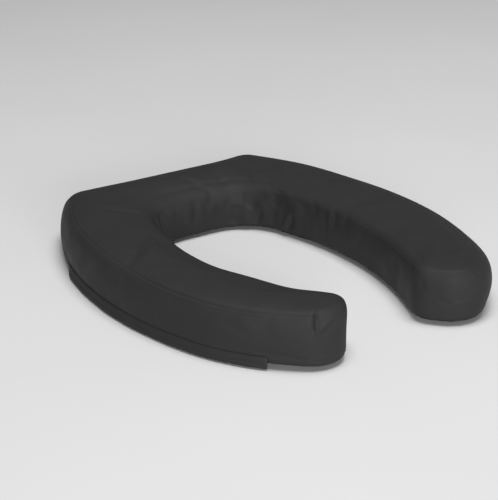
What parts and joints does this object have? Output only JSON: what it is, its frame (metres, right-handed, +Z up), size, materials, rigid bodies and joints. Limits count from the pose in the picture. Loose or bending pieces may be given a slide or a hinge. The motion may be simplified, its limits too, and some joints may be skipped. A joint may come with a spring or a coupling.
{
  "type": "raised toilet seat",
  "caption": "Horseshoe-shaped foam seat riser in a zipped coated-fabric cover, with an open front, a straight rear edge and hook-and-loop straps under its arms.",
  "frame": {"origin": "middle of the bounding box in plan, on the surface the cushion stands on", "axes": "+Z up; +Y towards the straight rear edge; the open front faces -Y; the zip is on the -X arm"},
  "size_m": [0.3547, 0.4207, 0.0542],
  "materials": {
    "cover_fabric": "coated, satin",
    "thread": "matt",
    "foam_firm": "open-cell foam",
    "foam_soft": "open-cell foam",
    "zip_tape": "matt twill",
    "zip_coil": "moulded nylon",
    "zip_metal": "black enamel",
    "elastic_web": "ribbed knit",
    "hook_tape": "hook tape",
    "loop_tape": "brushed loop tape"
  },
  "bodies": {
    "cushion": {"cover_top_panel": "cover_fabric", "cover_outer_band": "cover_fabric", "cover_inner_band": "cover_fabric", "cover_bottom_panel": "cover_fabric", "top_seam_stitching": "thread", "bottom_seam_stitching": "thread", "band_join_seams": "thread", "foam_firm_layer": "foam_firm", "foam_soft_layer": "foam_soft", "zip_tape_upper": "zip_tape", "zip_tape_lower": "zip_tape", "zip_coil_upper": "zip_coil", "zip_coil_lower": "zip_coil", "zip_stop_rear": "zip_metal", "zip_stop_front": "zip_metal", "zip_guard_flap": "cover_fabric", "strap_root_front_left": "elastic_web", "strap_loop_patch_front_left": "loop_tape", "strap_root_front_right": "elastic_web", "strap_loop_patch_front_right": "loop_tape", "strap_root_rear_left": "elastic_web", "strap_loop_patch_rear_left": "loop_tape", "strap_root_rear_right": "elastic_web", "strap_loop_patch_rear_right": "loop_tape"},
    "zip_slider": {"zip_slider_body": "zip_metal", "zip_slider_bridge": "zip_metal"},
    "zip_pull": {"zip_pull_tab": "zip_metal"},
    "strap_front_left": {"strap_web_front_left": "elastic_web", "strap_hook_tab_front_left": "hook_tape"},
    "strap_front_right": {"strap_web_front_right": "elastic_web", "strap_hook_tab_front_right": "hook_tape"},
    "strap_rear_left": {"strap_web_rear_left": "elastic_web", "strap_hook_tab_rear_left": "hook_tape"},
    "strap_rear_right": {"strap_web_rear_right": "elastic_web", "strap_hook_tab_rear_right": "hook_tape"}
  },
  "joints": [
    {"name": "zip_slide", "type": "hinge", "parent": "cushion", "child": "zip_slider", "pos_m": [0.22093, -0.00275, 0], "axis": [0, 0, 1], "range_deg": [0, 30.4]},
    {"name": "zip_pull_swing", "type": "hinge", "parent": "zip_slider", "child": "zip_pull", "pos_m": [-0.15698, 0.1016, 0.00325], "axis": [0.6816, -0.1882, -0.7071], "range_deg": [0, 175], "deforming": ["zip_guard_flap"]},
    {"name": "strap_fold_front_left", "type": "hinge", "parent": "cushion", "child": "strap_front_left", "pos_m": [-0.0895, -0.10417, -0.0002], "axis": [0.2588, -0.9659, 0], "range_deg": [0, 175]},
    {"name": "strap_fold_front_right", "type": "hinge", "parent": "cushion", "child": "strap_front_right", "pos_m": [0.0935, -0.10417, -0.0002], "axis": [0.2588, 0.9659, 0], "range_deg": [0, 175]},
    {"name": "strap_fold_rear_left", "type": "hinge", "parent": "cushion", "child": "strap_rear_left", "pos_m": [-0.09329, 0.06954, -0.0002], "axis": [-0.2164, -0.9763, 0], "range_deg": [0, 175]},
    {"name": "strap_fold_rear_right", "type": "hinge", "parent": "cushion", "child": "strap_rear_right", "pos_m": [0.09729, 0.06954, -0.0002], "axis": [-0.2164, 0.9763, 0], "range_deg": [0, 175]}
  ]
}
